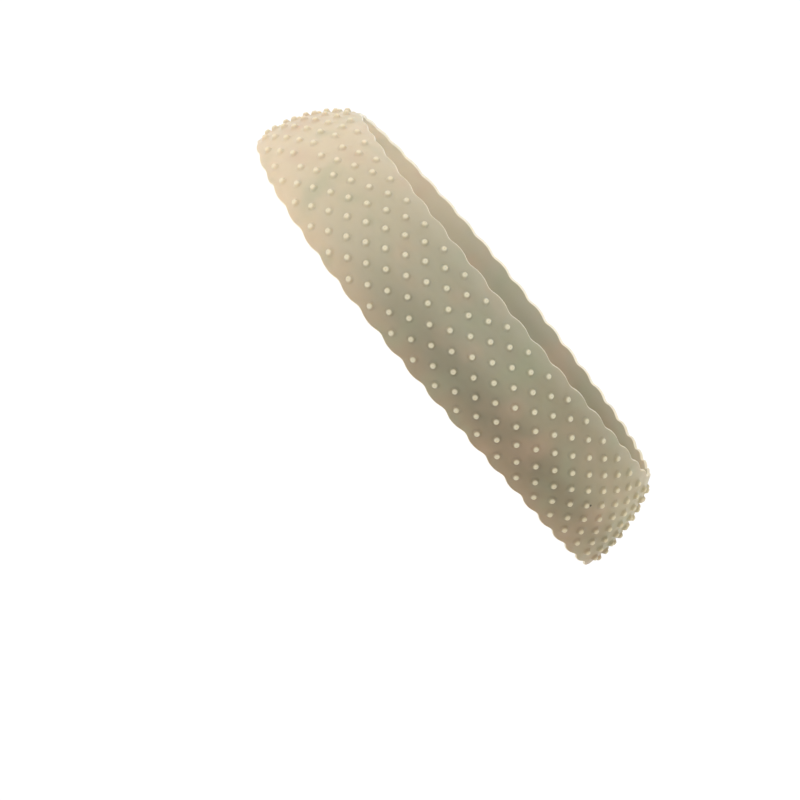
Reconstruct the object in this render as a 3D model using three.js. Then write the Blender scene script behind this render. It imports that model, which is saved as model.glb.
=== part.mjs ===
// A wig grip band: one closed loop of soft moulded silicone, stretched round a head.
// Both edges are scalloped, the inside is plain and the outside is covered in round nubs.
// Millimetres, +Z up. The wearer faces -Y, and +X is the wearer's left.
// The origin is the middle of the space that the head fills.

import * as THREE from 'three';

// The loop, measured on its outer face along its middle
const loop_breadth = 156;
const front_reach = 88.1; // from the widest place to the forehead
const back_reach = 110.3; // from the widest place to the nape
const end_taper = 0.094; // how much it draws in towards both, as a share of its breadth
const tilt = 51.3; // degrees by which the forehead side is raised

// The wall and its edges
const wall = 1.2;
const lower_margin = 4.7; // from the lowest row of nubs to the lower edge
const upper_margin = 5.8;
const scallop_depth = 1.1; // from crest to trough
const pitches_to_crest = 0.29; // from an outer nub to the crest beside it
const scallop_fullness = 0.15; // how much broader the crests are than the troughs

// The nubs, in rows whose columns are staggered by half a pitch
const rows = 9;
const columns = 45;
const row_interval = 4.25;
const nub_width = 3.2;
const nub_top_width = 1.5;
const nub_height = 1.5;

// The seam, where the staggered rows miss a nub and the columns are drawn together
const pitches_to_seam = 3.72; // from the middle of the forehead, on the wearer's left
const seam_gather = 0.32; // pitches lost there
const seam_reach = 0.4; // pitches over which the gather dies out

// Faces of the solid
const nub_sides = 5;
const scallop_half_steps = 2; // straight edges along half a scallop
const inner_strips = 6;
const loop_steps = 1440;
const grain = 0.001; // points closer together than this are one point

// How the band lies at five places, from the forehead round either side to the nape:
// lean: degrees by which the wall tips inwards towards its upper edge
// turn: degrees by which the wall bends from its lower edge to its upper edge
// rise: height of its middle, as a share of its width
// spread: row interval, as a share of the plain one
// pitch: column pitch, as a share of the one above the ear
// slant: how far the columns run towards the back for each millimetre upwards
// wave: depth of the scallops, as a share of the full one
const stations = [
  { at: 'forehead', lean: 24.3, turn: 51, rise: 0.032, spread: 0.94, pitch: 1.15, slant: 0, wave: 0.5 },
  { at: 'temple', lean: 17.5, turn: 54, rise: 0.004, spread: 1, pitch: 1.067, slant: 0, wave: 0.7 },
  { at: 'ear', lean: 8, turn: 61.5, rise: -0.006, spread: 1, pitch: 1, slant: 0, wave: 1 },
  { at: 'behind ear', lean: 6.8, turn: 64, rise: -0.005, spread: 0.97, pitch: 0.933, slant: 0.08, wave: 1 },
  { at: 'nape', lean: 15.9, turn: 37.5, rise: -0.034, spread: 0.93, pitch: 0.802, slant: 0.276, wave: 0.9 },
];

const band_width = (rows - 1) * row_interval + lower_margin + upper_margin;
const top_row = (rows - 1) / 2;
const half_pitch = 0.5;
const full_turn = 2 * Math.PI;

// The value of one column of the table at an angle round the loop, 0 at the forehead:
// a smooth curve through the five places, the same on both sides
function station(name, angle) {
  const last = stations.length - 1;
  const folded = Math.abs(angle - full_turn * Math.round(angle / full_turn));
  const position = (folded / Math.PI) * last;
  const index = Math.min(Math.floor(position), last - 1);
  const share = position - index;
  const value = (i) => stations[last - Math.abs(last - Math.abs(i))][name];
  const [before, from, to, after] = [-1, 0, 1, 2].map((step) => value(index + step));
  const cubic = 3 * (from - to) + after - before;
  const square = 2 * before - 5 * from + 4 * to - after;
  return from + 0.5 * share * (to - before + share * (square + share * cubic));
}

// A point of the loop's middle line, in the plane of the loop
function loopPoint(angle) {
  const forward = Math.cos(angle);
  const reach = forward > 0 ? front_reach : back_reach;
  const x = (loop_breadth / 2) * Math.sin(angle) * (1 - end_taper * forward * forward);
  const y = -reach * forward - (back_reach - front_reach) / 2;
  return new THREE.Vector2(x, y);
}

// The way out of the loop, square to its middle line
function wayOut(angle) {
  const small = 0.001;
  const along = loopPoint(angle + small).sub(loopPoint(angle - small));
  return new THREE.Vector2(along.y, -along.x).normalize();
}

// Running totals round the loop: its length, and the pitches that fit in it
function measureLoop() {
  const angles = [0];
  const lengths = [0];
  const pitches = [0];
  for (let i = 1; i <= loop_steps; i += 1) {
    const angle = (i * full_turn) / loop_steps;
    const step = loopPoint(angle).distanceTo(loopPoint(angles[i - 1]));
    const middle = (angle + angles[i - 1]) / 2;
    angles.push(angle);
    lengths.push(lengths[i - 1] + step);
    pitches.push(pitches[i - 1] + step / station('pitch', middle));
  }
  const scale = (columns - seam_gather) / pitches[loop_steps];
  return { angles, lengths, pitches: pitches.map((value) => value * scale) };
}

const measured = measureLoop();
const loop_length = measured.lengths[loop_steps];

// Looks a value up in one running total and gives the other one there, round and round the loop
function convert(value, from, to) {
  const turns = Math.floor(value / from[loop_steps]);
  const rest = value - turns * from[loop_steps];
  let low = 0;
  let high = loop_steps;
  while (high - low > 1) {
    const middle = Math.floor((low + high) / 2);
    if (from[middle] <= rest) {
      low = middle;
    } else {
      high = middle;
    }
  }
  const share = (rest - from[low]) / (from[high] - from[low]);
  return turns * to[loop_steps] + to[low] + share * (to[high] - to[low]);
}

// Pitches from the forehead to a column that is counted from the seam
function columnPlace(column) {
  const beyond = Math.tanh(column / seam_reach);
  const before = 1 + Math.tanh((column - columns) / seam_reach);
  return pitches_to_seam + column - (seam_gather / 2) * (beyond + before);
}

// Length along the loop from the forehead to a column, at a height above its middle line
function columnLength(column, height) {
  const length = convert(columnPlace(column), measured.pitches, measured.lengths);
  const angle = convert(length, measured.lengths, measured.angles);
  return length + station('slant', angle) * height;
}

// A point of the band: length is along the loop, height is across the band from its middle line,
// and lift is out of its outer face
function bandPoint(length, height, lift) {
  const angle = convert(length, measured.lengths, measured.angles);
  const lean = THREE.MathUtils.degToRad(station('lean', angle));
  const bend = THREE.MathUtils.degToRad(station('turn', angle)) / band_width;
  const facing = lean + height * bend;
  const outwards = (Math.cos(facing) - Math.cos(lean)) / bend + lift * Math.cos(facing);
  const upwards = (Math.sin(facing) - Math.sin(lean)) / bend + lift * Math.sin(facing);
  const flat = loopPoint(angle).addScaledVector(wayOut(angle), outwards);
  return new THREE.Vector3(flat.x, flat.y, upwards + station('rise', angle) * band_width);
}

// Every second row from the top one stands half a pitch from the seam, and the others on it
function rowShift(row) {
  return (top_row - row) % 2 === 0 ? half_pitch : 0;
}

// Heights across the band: a row of nubs, counted from the middle line, and the two edges
function rowHeight(column, row) {
  const angle = convert(columnPlace(column), measured.pitches, measured.angles);
  return row * row_interval * station('spread', angle);
}

function scallop(column, side) {
  const angle = convert(columnPlace(column), measured.pitches, measured.angles);
  const phase = full_turn * (column - rowShift(side * top_row) - pitches_to_crest);
  const wave = Math.cos(phase) - scallop_fullness * Math.cos(2 * phase);
  return (scallop_depth / 2) * station('wave', angle) * wave;
}

function plainEdgeHeight(column, side) {
  const margin = side > 0 ? upper_margin : lower_margin;
  return rowHeight(column, side * top_row) + side * margin;
}

function edgeHeight(column, side) {
  return plainEdgeHeight(column, side) + side * scallop(column, side);
}

// A mesh whose points are shared by the faces round them
class Skin {
  constructor() {
    this.points = [];
    this.faces = [];
    this.known = new Map();
  }

  // Lengths a whole loop apart are the same place
  at(length, height, lift) {
    const turns = Math.floor((length + grain) / loop_length);
    const wrapped = length - loop_length * turns;
    const key = [wrapped, height, lift].map((value) => Math.round(value / grain)).join(' ');
    if (!this.known.has(key)) {
      this.known.set(key, this.points.length);
      this.points.push(bandPoint(wrapped, height, lift));
    }
    return this.known.get(key);
  }

  atColumn(column, height, lift) {
    return this.at(columnLength(column, height), height, lift);
  }

  face(a, b, c) {
    this.faces.push([a, b, c]);
  }

  quad(a, b, c, d) {
    this.face(a, b, c);
    this.face(a, c, d);
  }

  // Fills a strip between two lines of points, whatever number of points each has
  strip(near, far) {
    let i = 0;
    let j = 0;
    while (i < near.length - 1 || j < far.length - 1) {
      const behind = (i + 1) / (near.length - 1) <= (j + 1) / (far.length - 1);
      if (j === far.length - 1 || (i < near.length - 1 && behind)) {
        this.face(near[i], near[i + 1], far[j]);
        i += 1;
      } else {
        this.face(near[i], far[j + 1], far[j]);
        j += 1;
      }
    }
  }

  // Fills the ring between two closed lines, whose points are listed with their angles
  ring(outer, inner) {
    const close = (line) => [...line, { point: line[0].point, angle: line[0].angle + full_turn }];
    const [far, near] = [close(outer), close(inner)];
    let i = 0;
    let j = 0;
    while (i < outer.length || j < inner.length) {
      const behind = i < outer.length && j < inner.length && far[i + 1].angle <= near[j + 1].angle;
      if (j === inner.length || behind) {
        this.face(far[i].point, far[i + 1].point, near[j].point);
        i += 1;
      } else {
        this.face(far[i].point, near[j + 1].point, near[j].point);
        j += 1;
      }
    }
  }

  geometry() {
    const geometry = new THREE.BufferGeometry();
    geometry.setFromPoints(this.points);
    geometry.setIndex(this.faces.flat());
    geometry.computeVertexNormals();
    return geometry;
  }
}

// Points on a circle round a nub's middle, at a lift from the band's face
function nubRing(skin, column, height, width, lift) {
  const length = columnLength(column, height);
  return Array.from({ length: nub_sides }, (_, i) => {
    const angle = (full_turn * (i + 0.5)) / nub_sides;
    const along = (Math.cos(angle) * width) / 2;
    const across = (Math.sin(angle) * width) / 2;
    return { point: skin.at(length + along, height + across, lift), angle };
  });
}

// A nub, and the band's face from its foot to the corners of the diamond round it
function addNub(skin, column, height, corners) {
  const foot = nubRing(skin, column, height, nub_width, 0);
  const top = nubRing(skin, column, height, nub_top_width, nub_height);
  skin.ring(corners, foot);
  skin.ring(foot, top);
  for (let i = 1; i < nub_sides - 1; i += 1) {
    skin.face(top[0].point, top[i].point, top[i + 1].point);
  }
}

// The outer face: one diamond round each nub, with its corners between the neighbouring nubs
function addOuterFace(skin) {
  const ways = [[1, 0], [0, 1], [-1, 0], [0, -1]];
  for (let row = -top_row; row <= top_row; row += 1) {
    for (let i = 0; i < columns; i += 1) {
      const column = i + rowShift(row);
      const corners = ways.map(([across, up], quarter) => {
        const place = column + across * half_pitch;
        const pastEdge = Math.abs(row + up) > top_row;
        const height = pastEdge ? edgeHeight(place, up) : rowHeight(place, row + up);
        return { point: skin.atColumn(place, height, 0), angle: (quarter * full_turn) / ways.length };
      });
      if (column === 0) {
        skin.quad(...corners.map((corner) => corner.point));
      } else {
        addNub(skin, column, rowHeight(column, row), corners);
      }
    }
  }
}

// A line of points along part of an edge
function edgeLine(skin, from, to, side, lift) {
  const steps = Math.round(((to - from) / half_pitch) * scallop_half_steps);
  return Array.from({ length: steps + 1 }, (_, i) => {
    const column = from + ((to - from) * i) / steps;
    return skin.atColumn(column, edgeHeight(column, side), lift);
  });
}

// The outer face between the outer rows' diamonds and each edge
function addMargins(skin) {
  for (const side of [-1, 1]) {
    for (let i = 0; i < columns; i += 1) {
      const from = i + rowShift(side * top_row);
      const corner = from + half_pitch;
      const middle = skin.atColumn(corner, rowHeight(corner, side * top_row), 0);
      const edge = edgeLine(skin, from, from + 1, side, 0);
      if (side < 0) {
        skin.strip(edge, [middle]);
      } else {
        skin.strip([middle], edge);
      }
    }
  }
}

// The wall's thickness along each edge
function addRims(skin) {
  for (const side of [-1, 1]) {
    const inside = edgeLine(skin, 0, columns, side, -wall);
    const outside = edgeLine(skin, 0, columns, side, 0);
    if (side < 0) {
      skin.strip(inside, outside);
    } else {
      skin.strip(outside, inside);
    }
  }
}

// The plain inner face, in strips along the loop
function addInnerFace(skin) {
  const plainLine = (from, share) => [from, from + half_pitch].map((column) => {
    const [low, high] = [-1, 1].map((side) => plainEdgeHeight(column, side));
    return skin.atColumn(column, THREE.MathUtils.lerp(low, high, share), -wall);
  });
  for (let from = 0; from < columns; from += half_pitch) {
    const lines = [edgeLine(skin, from, from + half_pitch, -1, -wall)];
    for (let strip = 1; strip < inner_strips; strip += 1) {
      lines.push(plainLine(from, strip / inner_strips));
    }
    lines.push(edgeLine(skin, from, from + half_pitch, 1, -wall));
    for (let strip = 0; strip < inner_strips; strip += 1) {
      skin.strip(lines[strip].slice().reverse(), lines[strip + 1].slice().reverse());
    }
  }
}

function makeBand() {
  const skin = new Skin();
  addOuterFace(skin);
  addMargins(skin);
  addRims(skin);
  addInnerFace(skin);
  return skin.geometry();
}

const silicone = new THREE.MeshStandardMaterial({
  color: new THREE.Color(0.79, 0.74, 0.62),
  roughness: 0.45,
  metalness: 0,
});

const band = new THREE.Mesh(makeBand(), silicone);
band.name = 'grip_band';
band.rotation.x = -THREE.MathUtils.degToRad(tilt);

const part = new THREE.Group();
part.add(band);

export default part;
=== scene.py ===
"""A wig grip band: a soft moulded silicone loop with scalloped edges and rows of round nubs.

Metres, +Z up. The wearer faces -Y, and +X is the wearer's left.
"""

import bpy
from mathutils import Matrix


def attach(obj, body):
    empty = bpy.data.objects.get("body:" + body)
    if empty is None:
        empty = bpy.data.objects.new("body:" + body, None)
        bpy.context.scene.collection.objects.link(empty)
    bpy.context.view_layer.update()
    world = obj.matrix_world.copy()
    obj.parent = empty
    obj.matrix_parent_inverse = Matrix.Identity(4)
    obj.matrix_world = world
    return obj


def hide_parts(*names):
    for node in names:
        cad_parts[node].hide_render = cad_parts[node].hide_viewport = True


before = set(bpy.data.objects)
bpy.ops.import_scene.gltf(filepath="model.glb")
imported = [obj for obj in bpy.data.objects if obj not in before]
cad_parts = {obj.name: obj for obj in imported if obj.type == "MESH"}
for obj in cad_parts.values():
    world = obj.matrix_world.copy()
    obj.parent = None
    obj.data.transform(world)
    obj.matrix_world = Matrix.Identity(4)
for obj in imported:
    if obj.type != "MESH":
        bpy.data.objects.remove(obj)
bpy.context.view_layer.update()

import math

import bpy
import numpy as np
from mathutils import Vector

mm = 0.001
full_turn = 2 * math.pi

# The loop, measured on its outer face along its middle
loop_breadth = 156 * mm
front_reach = 88.1 * mm
back_reach = 110.3 * mm
end_taper = 0.094
tilt = math.radians(51.3)

# The wall and its edges
wall = 1.2 * mm
lower_margin = 4.7 * mm
upper_margin = 5.8 * mm
scallop_depth = 1.1 * mm
pitches_to_crest = 0.29
scallop_fullness = 0.15

# The nubs, in rows whose columns are staggered by half a pitch
rows = 9
columns = 45
row_interval = 4.25 * mm
nub_width = 3.2 * mm
nub_top_width = 1.5 * mm
nub_height = 1.5 * mm
nub_softness = 0.5 * mm  # how much wider its foot and narrower its top are for being rounded
dimple_width = 0.8 * mm
dimple_depth = 0.2 * mm

# A nub grows pale between these shares of its height, and its dimple is a little less pale, as painted
# shade in the hollow
nub_pale_from = 0.5
nub_pale_to = 0.85
dimple_shaded_paleness = 0.55

# A dark speck in the silicone, counted as the nubs are
speck_column = 15.19
speck_row = -0.75
speck_core = 0.225 * mm
speck_reach = 0.675 * mm

# The seam, where the staggered rows miss a nub and the columns are drawn together
pitches_to_seam = 3.72
seam_gather = 0.32
seam_reach = 0.4

# How the band lies at five places from the forehead round either side to the nape:
# lean and turn in degrees, rise as a share of the width, spread and pitch as shares of the plain
# spacing, slant as the distance that the columns run back for each one that they run up, and wave
# as the share of the full depth that the scallops have
stations = {
    "place": ("forehead", "temple", "ear", "behind the ear", "nape"),
    "lean": (24.3, 17.5, 8, 6.8, 15.9),
    "turn": (51, 54, 61.5, 64, 37.5),
    "rise": (0.032, 0.004, -0.006, -0.005, -0.034),
    "spread": (0.94, 1, 1, 0.97, 0.93),
    "pitch": (1.15, 1.067, 1, 0.933, 0.802),
    "slant": (0, 0, 0, 0.08, 0.276),
    "wave": (0.5, 0.7, 1, 1, 0.9),
}

# How finely the surface is made
loop_steps = 1440
nub_rings = 6
nub_sides = 16
side_steps = 4
margin_steps = 3
edge_steps = 16
rim_steps = 6
inner_columns = 4
inner_strips = 12
grain = 0.002 * mm  # points that are no further apart are one point

band_width = (rows - 1) * row_interval + lower_margin + upper_margin
top_row = (rows - 1) / 2
half_pitch = 0.5


def station(name, angle):
    """One row of the table at angles round the loop, 0 at the forehead.

    It is smooth, and the same on both sides.
    """
    values = np.array(stations[name], float)
    last = len(values) - 1
    folded = np.abs(angle - full_turn * np.round(angle / full_turn))
    position = folded / math.pi * last
    index = np.minimum(np.floor(position), last - 1).astype(int)
    share = position - index
    before, start, end, after = (
        values[last - np.abs(last - np.abs(index + step))] for step in (-1, 0, 1, 2)
    )
    cubic = 3 * (start - end) + after - before
    square = 2 * before - 5 * start + 4 * end - after
    return start + 0.5 * share * (end - before + share * (square + share * cubic))


def loop_point(angle):
    """The loop's middle line, in the plane of the loop."""
    forward = np.cos(angle)
    reach = np.where(forward > 0, front_reach, back_reach)
    x = loop_breadth / 2 * np.sin(angle) * (1 - end_taper * forward**2)
    y = -reach * forward - (back_reach - front_reach) / 2
    return np.stack([x, y], -1)


def way_out(angle):
    """The direction out of the loop, square to its middle line."""
    small = 0.001
    along = loop_point(angle + small) - loop_point(angle - small)
    out = np.stack([along[..., 1], -along[..., 0]], -1)
    return out / np.linalg.norm(out, axis=-1, keepdims=True)


def measure_loop():
    """Running totals round the loop: its length, and the pitches that fit in it."""
    angles = np.linspace(0, full_turn, loop_steps + 1)
    steps = np.linalg.norm(np.diff(loop_point(angles), axis=0), axis=1)
    lengths = np.concatenate([[0], np.cumsum(steps)])
    middles = (angles[1:] + angles[:-1]) / 2
    pitches = np.concatenate([[0], np.cumsum(steps / station("pitch", middles))])
    return angles, lengths, pitches * (columns - seam_gather) / pitches[-1]


loop_angles, loop_lengths, loop_pitches = measure_loop()
loop_length = loop_lengths[-1]


def convert(value, source, target):
    """Looks a value up in one running total and gives the other one there, round and round the loop."""
    turns = np.floor(value / source[-1])
    return turns * target[-1] + np.interp(value - turns * source[-1], source, target)


def column_place(column):
    """Pitches from the forehead to a column that is counted from the seam."""
    beyond = np.tanh(column / seam_reach)
    before = 1 + np.tanh((column - columns) / seam_reach)
    return pitches_to_seam + column - seam_gather / 2 * (beyond + before)


def column_length(column, height):
    """Length along the loop from the forehead to a column, at a height above its middle line."""
    length = convert(column_place(column), loop_pitches, loop_lengths)
    return length + station("slant", convert(length, loop_lengths, loop_angles)) * height


def band_point(length, height, lift):
    """Points of the band: height is across it from its middle line, lift is out of its outer face."""
    angle = convert(length, loop_lengths, loop_angles)
    lean = np.radians(station("lean", angle))
    bend = np.radians(station("turn", angle)) / band_width
    facing = lean + height * bend
    outwards = (np.cos(facing) - np.cos(lean)) / bend + lift * np.cos(facing)
    upwards = (np.sin(facing) - np.sin(lean)) / bend + lift * np.sin(facing)
    flat = loop_point(angle) + way_out(angle) * outwards[:, None]
    up = upwards + station("rise", angle) * band_width
    y = flat[:, 1] * math.cos(tilt) + up * math.sin(tilt)
    z = -flat[:, 1] * math.sin(tilt) + up * math.cos(tilt)
    return np.stack([flat[:, 0], y, z], -1)


def row_shift(row):
    """Every second row from the top one stands half a pitch from the seam, and the others on it."""
    return half_pitch if (top_row - row) % 2 == 0 else 0


def row_height(column, row):
    angle = convert(column_place(column), loop_pitches, loop_angles)
    return row * row_interval * station("spread", angle)


def plain_edge_height(column, side):
    margin = upper_margin if side > 0 else lower_margin
    return row_height(column, side * top_row) + side * margin


def edge_height(column, side):
    """Height of the scalloped edge."""
    angle = convert(column_place(column), loop_pitches, loop_angles)
    phase = full_turn * (column - row_shift(side * top_row) - pitches_to_crest)
    wave = np.cos(phase) - scallop_fullness * np.cos(2 * phase)
    depth = scallop_depth * station("wave", angle)
    return plain_edge_height(column, side) + side * depth / 2 * wave


class Skin:
    """A mesh in the band's own measures, whose points are shared by the faces round them."""

    def __init__(self):
        self.places = []
        self.marks = []
        self.faces = []
        self.known = {}

    def at(self, length, height, lift, nub=0.0, rim=0.0):
        turns = math.floor((length + grain) / loop_length)
        wrapped = length - loop_length * turns
        key = (round(wrapped / grain), round(height / grain), round(lift / grain))
        if key not in self.known:
            self.known[key] = len(self.places)
            self.places.append((wrapped, height, lift))
            self.marks.append((nub, rim))
        return self.known[key]

    def line(self, lengths, heights, lift=0.0, rim=0.0):
        return [self.at(length, height, lift, 0.0, rim) for length, height in zip(lengths, heights)]

    def strip(self, near, far):
        """Fills a strip between two lines of points, whatever number of points each has."""
        i = 0
        j = 0
        while i < len(near) - 1 or j < len(far) - 1:
            done = j == len(far) - 1
            if done or (i < len(near) - 1 and (i + 1) * (len(far) - 1) <= (j + 1) * (len(near) - 1)):
                self.faces.append((near[i], near[i + 1], far[j]))
                i += 1
            else:
                self.faces.append((near[i], far[j + 1], far[j]))
                j += 1

    def ring(self, outer, inner):
        """Fills the ring between two closed lines of (point, angle)."""
        far = outer + [(outer[0][0], outer[0][1] + full_turn)]
        near = inner + [(inner[0][0], inner[0][1] + full_turn)]
        i = 0
        j = 0
        while i < len(outer) or j < len(inner):
            ready = i < len(outer) and j < len(inner)
            if j == len(inner) or (ready and far[i + 1][1] <= near[j + 1][1]):
                self.faces.append((far[i][0], far[i + 1][0], near[j][0]))
                i += 1
            else:
                self.faces.append((far[i][0], near[j + 1][0], near[j][0]))
                j += 1


def nub_profile():
    """Radius, lift and paleness from a nub's soft foot over its shoulder to the dimple in its top."""
    foot = (nub_width + nub_softness) / 2
    shoulder = (nub_top_width - nub_softness) / 2
    rings = []
    for i in range(nub_rings + 1):
        share = i / nub_rings
        lift = nub_height * (1 - math.cos(math.pi * share)) / 2
        rings.append((foot + (shoulder - foot) * share, lift))
    rings.append((dimple_width / 2, nub_height))
    rings.append((dimple_width / 4, nub_height - dimple_depth / 2))
    return [(radius, lift, paleness(lift)) for radius, lift in rings]


def paleness(lift):
    share = (lift / nub_height - nub_pale_from) / (nub_pale_to - nub_pale_from)
    return min(1.0, max(0.0, share))


def cell_outline(column, row):
    """Columns and heights round a nub's own piece of the outer face, from half a pitch ahead of it."""
    ahead = (column + half_pitch, row_height(column + half_pitch, row))
    behind = (column - half_pitch, row_height(column - half_pitch, row))
    outline = []
    for start, side, end in ((ahead, 1, behind), (behind, -1, ahead)):
        if abs(row + side) <= top_row:
            peak = (column, row_height(column, row + side))
            outline += segment(start, peak, side_steps) + segment(peak, end, side_steps)
        else:
            rim_from = (start[0], edge_height(start[0], side) - side * wall / 2)
            outline += segment(start, rim_from, margin_steps)
            for step in range(edge_steps):
                place = start[0] + (end[0] - start[0]) * step / edge_steps
                outline.append((place, edge_height(place, side) - side * wall / 2))
            rim_to = (end[0], edge_height(end[0], side) - side * wall / 2)
            outline += segment(rim_to, end, margin_steps)
    return outline


def segment(start, end, steps):
    """Points on a straight line, without its last one."""
    return [tuple(a + (b - a) * i / steps for a, b in zip(start, end)) for i in range(steps)]


def add_outer_face(skin):
    """The outer face, one cell round each nub."""
    profile = nub_profile()
    turns = [full_turn * i / nub_sides for i in range(nub_sides)]
    for row in np.arange(-top_row, top_row + 1):
        for i in range(columns):
            column = i + row_shift(row)
            height = float(row_height(column, row))
            length = float(column_length(column, height))
            plain = column == 0  # on the seam
            outline = cell_outline(column, row)
            places, heights = (np.array(values, float) for values in zip(*outline))
            lengths = column_length(places, heights)
            angles = np.unwrap(np.arctan2(heights - height, lengths - length))
            angles -= full_turn * round(angles[0] / full_turn)
            outer = list(zip(skin.line(lengths, heights), angles))
            for radius, lift, pale in profile:
                inner = []
                for turn in turns:
                    along = radius * math.cos(turn)
                    across = radius * math.sin(turn)
                    flat = 0 if plain else lift
                    point = skin.at(length + along, height + across, flat, 0 if plain else pale)
                    inner.append((point, turn))
                skin.ring(outer, inner)
                outer = inner
            top = 0 if plain else nub_height - dimple_depth
            # the middle of the dimple is less pale: painted shade in the hollow
            middle = skin.at(length, height, top, 0 if plain else dimple_shaded_paleness)
            for (first, _), (second, _) in zip(outer, outer[1:] + outer[:1]):
                skin.faces.append((first, second, middle))


def edge_line(skin, side, start, end, steps, turned):
    """Points along part of an edge, where the rounded rim has turned by an angle from the outer face."""
    places = np.linspace(start, end, steps + 1)
    radius = wall / 2
    heights = edge_height(places, side) - side * radius * (1 - math.sin(turned))
    lengths = column_length(places, edge_height(places, side) - side * radius)
    return skin.line(lengths, heights, radius * (math.cos(turned) - 1), math.sin(turned))


def add_rims(skin):
    """The rounded rim along each edge."""
    for side in (-1, 1):
        shift = row_shift(side * top_row)
        for i in range(columns):
            start = i + shift - half_pitch
            lines = [
                edge_line(skin, side, start, start + 1, edge_steps, math.pi * step / rim_steps)
                for step in range(rim_steps + 1)
            ]
            for near, far in zip(lines, lines[1:]):
                if side > 0:
                    skin.strip(near, far)
                else:
                    skin.strip(far, near)


def add_inner_face(skin):
    """The plain inner face."""
    for i in range(columns):
        for j in range(inner_columns):
            start = i + j / inner_columns
            end = start + 1 / inner_columns
            steps = edge_steps // inner_columns
            lines = [edge_line(skin, -1, start, end, steps, math.pi)]
            places = np.array([start, end])
            low, high = (edge_height(places, side) - side * wall / 2 for side in (-1, 1))
            for strip in range(1, inner_strips):
                heights = low + (high - low) * strip / inner_strips
                lines.append(skin.line(column_length(places, heights), heights, -wall))
            lines.append(edge_line(skin, 1, start, end, steps, math.pi))
            for near, far in zip(lines, lines[1:]):
                skin.strip(near[::-1], far[::-1])


def make_band():
    """The whole band as one mesh, with the place of each point kept for its colour."""
    skin = Skin()
    add_outer_face(skin)
    add_rims(skin)
    add_inner_face(skin)
    length, height, lift = np.array(skin.places).T
    points = band_point(length, height, lift)
    mesh = bpy.data.meshes.new("silicone_band")
    mesh.from_pydata(points.tolist(), [], skin.faces)
    mesh.shade_smooth()
    angle = convert(length, loop_lengths, loop_angles)
    round_loop = np.abs(angle - full_turn * np.round(angle / full_turn)) / math.pi
    nub, rim = np.array(skin.marks).T
    facts = {"nub": nub, "rim": rim, "across": height / (band_width / 2), "along": round_loop}
    for name, values in facts.items():
        layer = mesh.attributes.new(name, "FLOAT", "POINT")
        layer.data.foreach_set("value", np.array(values, np.float32))
    band = bpy.data.objects.new("silicone_band", mesh)
    bpy.context.collection.objects.link(band)
    return band


# The silicone's colours as they look on a screen, in turn from the forehead to the nape; some of them
# are painted light and shade
# the wall: lighter at the forehead, which faces up, as painted light, and darker along the sides, partly
# painted shade and partly a darker tone seen through the milky silicone
wall_colours_and_painted_shading = ((209, 195, 168), (155, 151, 128), (149, 140, 114), (176, 164, 133))
lower_margin_colours = ((214, 192, 162), (164, 138, 110))
# painted light along the upper edge, which faces up
upper_painted_light_colour = (206, 200, 182)
# the nubs' tops, paler than the wall, and brighter towards the forehead as painted light
nub_colours_and_painted_shading = ((219, 207, 182), (199, 193, 170), (199, 189, 160))
# a painted highlight along each rounded rim
rim_highlight_colours = ((236, 229, 214), (212, 203, 180))
speck_colour = (64, 54, 36)
# painted shade for the lower middle of the sides, on the wall and on the nubs
shade_tint = (0.73, 0.69, 0.65, 1)

# Where they change along the loop, which is 0 at the forehead and 1 at the nape
wall_shading_changes = ((0.15, 0.6), (0.56, 0.72), (0.72, 1.0))
shade_change = (0.34, 0.62)
lower_margin_changes = ((0.25, 0.6),)
nub_shading_changes = ((0.2, 0.55), (0.66, 0.95))
rim_highlight_changes = ((0.6, 1.0),)

# Where they come in across the band, which is -1 at its lower edge and 1 at its upper one
shade_above = (0.25, -0.42)
shade_below = (-1.7, -0.5)
lower_margin_reach = (-0.45, -0.85)
upper_painted_light_reach = (0.6, 1.0)
rim_highlight_reach = (0.05, 0.5)  # round the rim, which is 0 where it starts and 1 at its crest

# How strongly they come in
lower_margin_strength = 0.4
upper_painted_light_strength = 0.2
nub_shade_strength = 0.4
rim_highlight_strength = 0.9

# Its clouds: the colour, where the noise brings it in, and how strongly
clouds = (
    ((146, 158, 128), (0.5, 0.75), 0.28),
    ((192, 158, 134), (0.5, 0.25), 0.27),
)
cloud_scale = 55.0

# Its surface, and how far light goes in it
bump_scale = 160.0
bump_strength = 0.12
bump_depth = 0.3 * mm
noise_detail = 2.0
silicone_roughness = 0.48
silicone_index = 1.41
scatter_weight = 0.8
scatter_radius = (1.0, 0.85, 0.6)
scatter_scale = 2 * mm


def linear(red, green, blue):
    """A colour given as it looks on a screen, from 0 to 255, for a shader by the sRGB rule."""
    values = [value / 255 for value in (red, green, blue)]
    return [v / 12.92 if v <= 0.04045 else ((v + 0.055) / 1.055) ** 2.4 for v in values] + [1]


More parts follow.
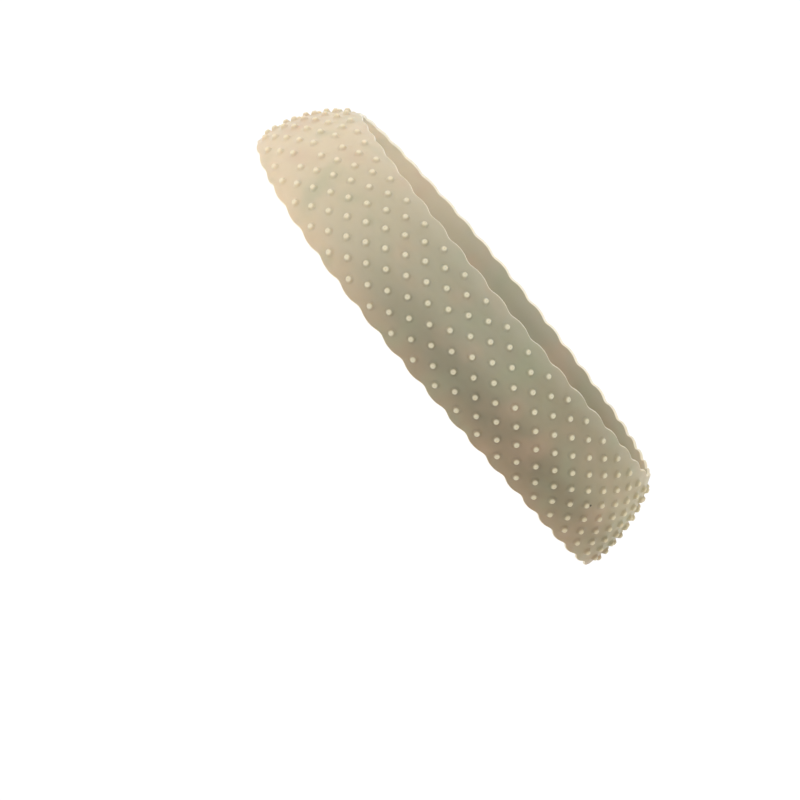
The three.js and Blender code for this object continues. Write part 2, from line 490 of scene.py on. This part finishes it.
class Nodes:
    """Short ways to add and join shader nodes."""

    def __init__(self, material):
        material.use_nodes = True
        self.tree = material.node_tree
        self.tree.nodes.clear()

    def add(self, kind, settings=None, **inputs):
        node = self.tree.nodes.new(kind)
        for key, value in (settings or {}).items():
            setattr(node, key, value)
        for key, value in inputs.items():
            self.put(node, key, value)
        return node

    def put(self, node, key, value):
        socket = node.inputs[int(key[1:])] if key[0] == "_" else node.inputs[key.replace("_", " ")]
        if isinstance(value, bpy.types.NodeSocket):
            self.tree.links.new(value, socket)
        else:
            socket.default_value = value

    def product(self, first, *others):
        for other in others:
            node = self.add("ShaderNodeMath", {"operation": "MULTIPLY"}, _0=first, _1=other)
            first = node.outputs[0]
        return first

    def noise(self, place, scale):
        node = self.add("ShaderNodeTexNoise", Vector=place, Scale=scale, Detail=noise_detail)
        return node.outputs["Fac"]

    def fact(self, name):
        return self.add("ShaderNodeAttribute", {"attribute_name": name}).outputs["Fac"]

    def span(self, value, low, high):
        """0 at low, 1 at high and smooth between."""
        settings = {"interpolation_type": "SMOOTHSTEP"}
        node = self.add("ShaderNodeMapRange", settings, Value=value)
        self.put(node, "From_Min", low)
        self.put(node, "From_Max", high)
        return node.outputs[0]

    def mix(self, share, first, second, blend="MIX"):
        node = self.add("ShaderNodeMix", {"data_type": "RGBA", "blend_type": blend})
        self.put(node, "_0", share)
        self.put(node, "_6", first)
        self.put(node, "_7", second)
        return node.outputs[2]

    def follow(self, along, colours, changes):
        """Colours that follow each other along the loop."""
        colour = linear(*colours[0])
        for later, change in zip(colours[1:], changes):
            colour = self.mix(self.span(along, *change), colour, linear(*later))
        return colour


def silicone():
    """Milky silicone: greyish along the sides, warmer at its lower edge, pale at its nubs, with painted
    light at the forehead, the upper edge and the rims, and painted shade along the sides and in the
    nubs' dimples.
    """
    material = bpy.data.materials.new("silicone")
    nodes = Nodes(material)
    across = nodes.fact("across")
    along = nodes.fact("along")
    nub = nodes.fact("nub")
    rim = nodes.fact("rim")
    place = nodes.add("ShaderNodeTexCoord").outputs["Object"]
    # the wall's colours, with painted light at the forehead and painted shade along the sides
    colour = nodes.follow(along, wall_colours_and_painted_shading, wall_shading_changes)

    # painted shade on the stretch below the middle of the sides, which faces downwards, and partly a
    # darker tone seen through the silicone there
    painted_shade = nodes.product(
        nodes.span(across, *shade_above), nodes.span(along, *shade_change), nodes.span(across, *shade_below)
    )
    colour = nodes.mix(painted_shade, colour, shade_tint, "MULTIPLY")

    # both margins: the lower one warmer, and painted light on the upper one, which faces up
    warm = nodes.follow(along, lower_margin_colours, lower_margin_changes)
    low = nodes.product(nodes.span(across, *lower_margin_reach), lower_margin_strength)
    # painted light on the upper margin
    high = nodes.product(nodes.span(across, *upper_painted_light_reach), upper_painted_light_strength)
    colour = nodes.mix(low, colour, warm)
    colour = nodes.mix(high, colour, linear(*upper_painted_light_colour))

    # cloudiness
    noise = nodes.noise(place, cloud_scale)
    for cloud_colour, reach, strength in clouds:
        share = nodes.product(nodes.span(noise, *reach), strength)
        colour = nodes.mix(share, colour, linear(*cloud_colour))

    # a dark speck
    height = float(row_height(speck_column, speck_row))
    middle = band_point(np.array([column_length(speck_column, height)]), height, 0)[0]
    near = nodes.add("ShaderNodeVectorMath", {"operation": "DISTANCE"}, _0=place, _1=tuple(middle))
    spot = nodes.span(near.outputs["Value"], speck_reach, speck_core)
    colour = nodes.mix(spot, colour, linear(*speck_colour))

    # a painted highlight along each rounded rim, and the nubs' tops
    rim_highlight = nodes.follow(along, rim_highlight_colours, rim_highlight_changes)
    colour = nodes.mix(nodes.product(nodes.span(rim, *rim_highlight_reach), rim_highlight_strength), colour, rim_highlight)
    # the nubs' tops, brighter towards the forehead as painted light
    pale = nodes.follow(along, nub_colours_and_painted_shading, nub_shading_changes)
    # painted shade on the nubs in the same stretch
    pale = nodes.mix(nodes.product(painted_shade, nub_shade_strength), pale, shade_tint, "MULTIPLY")
    colour = nodes.mix(nub, colour, pale)

    bump = nodes.add(
        "ShaderNodeBump",
        Strength=bump_strength,
        Distance=bump_depth,
        Height=nodes.noise(place, bump_scale),
    )
    shader = nodes.add(
        "ShaderNodeBsdfPrincipled",
        Base_Color=colour,
        Roughness=silicone_roughness,
        IOR=silicone_index,
        Normal=bump.outputs["Normal"],
        Subsurface_Weight=scatter_weight,
        Subsurface_Radius=scatter_radius,
        Subsurface_Scale=scatter_scale,
    )
    nodes.add("ShaderNodeOutputMaterial", Surface=shader.outputs[0])
    return material


# Where the photograph was taken from
camera_azimuth = math.radians(98.5)
camera_elevation = 0.0
camera_distance = 1.2
camera_aim = Vector((2.7, -24.9, -30.5)) * mm
camera_lens = 141.4
camera_sensor = 36.0
camera_far = 50


def make_camera():
    data = bpy.data.cameras.new("camera")
    data.lens = camera_lens
    data.sensor_width = camera_sensor
    data.clip_end = camera_far
    camera = bpy.data.objects.new("camera", data)
    flat = math.cos(camera_elevation)
    back = Vector((
        math.sin(camera_azimuth) * flat,
        -math.cos(camera_azimuth) * flat,
        math.sin(camera_elevation),
    ))
    camera.location = camera_aim + back * camera_distance
    camera.rotation_euler = (-back).to_track_quat("-Z", "Y").to_euler()
    bpy.context.collection.objects.link(camera)
    bpy.context.scene.camera = camera


def make_light(name, place, size, power):
    data = bpy.data.lights.new(name, "AREA")
    data.shape = "DISK"
    data.size = size
    data.energy = power
    light = bpy.data.objects.new(name, data)
    light.location = place
    light.rotation_euler = (-Vector(place)).to_track_quat("-Z", "Y").to_euler()
    bpy.context.collection.objects.link(light)


floor_height = -0.34
sweep_width = 12.0
sweep_front = 6.0
sweep_back = -3.0
sweep_radius = 1.5
sweep_top = 6.0
sweep_steps = 24
floor_colour = (254, 254, 254)
floor_roughness = 0.9


def make_sweep():
    """A pale floor that curves up behind into a backdrop."""
    profile = [(sweep_front, floor_height), (sweep_back, floor_height)]
    for i in range(1, sweep_steps + 1):
        angle = math.pi / 2 * i / sweep_steps
        x = sweep_back - sweep_radius * math.sin(angle)
        profile.append((x, floor_height + sweep_radius * (1 - math.cos(angle))))
    profile.append((sweep_back - sweep_radius, sweep_top))
    points = [(x, side * sweep_width / 2, z) for x, z in profile for side in (-1, 1)]
    faces = [(2 * i, 2 * i + 1, 2 * i + 3, 2 * i + 2) for i in range(len(profile) - 1)]
    mesh = bpy.data.meshes.new("floor")
    mesh.from_pydata(points, [], faces)
    mesh.shade_smooth()
    floor = bpy.data.objects.new("floor", mesh)
    bpy.context.collection.objects.link(floor)
    material = bpy.data.materials.new("floor")
    nodes = Nodes(material)
    shader = nodes.add(
        "ShaderNodeBsdfPrincipled", Base_Color=linear(*floor_colour), Roughness=floor_roughness
    )
    nodes.add("ShaderNodeOutputMaterial", Surface=shader.outputs[0])
    mesh.materials.append(material)


# The light: even from all round, and a soft lamp above the camera and to its left
world_strength = 1.04
key_place = (1.6, -0.7, 1.0)
key_size = 0.9
key_power = 5.5


def make_world():
    world = bpy.data.worlds.new("studio")
    bpy.context.scene.world = world
    world.use_nodes = True
    background = world.node_tree.nodes["Background"]
    background.inputs["Color"].default_value = (1, 1, 1, 1)
    background.inputs["Strength"].default_value = world_strength


make_camera()
make_world()
make_sweep()
make_light("key", key_place, key_size, key_power)
bpy.context.scene.view_settings.view_transform = "Standard"

band = make_band()
band.data.materials.append(silicone())
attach(band, "root")
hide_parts("grip_band")
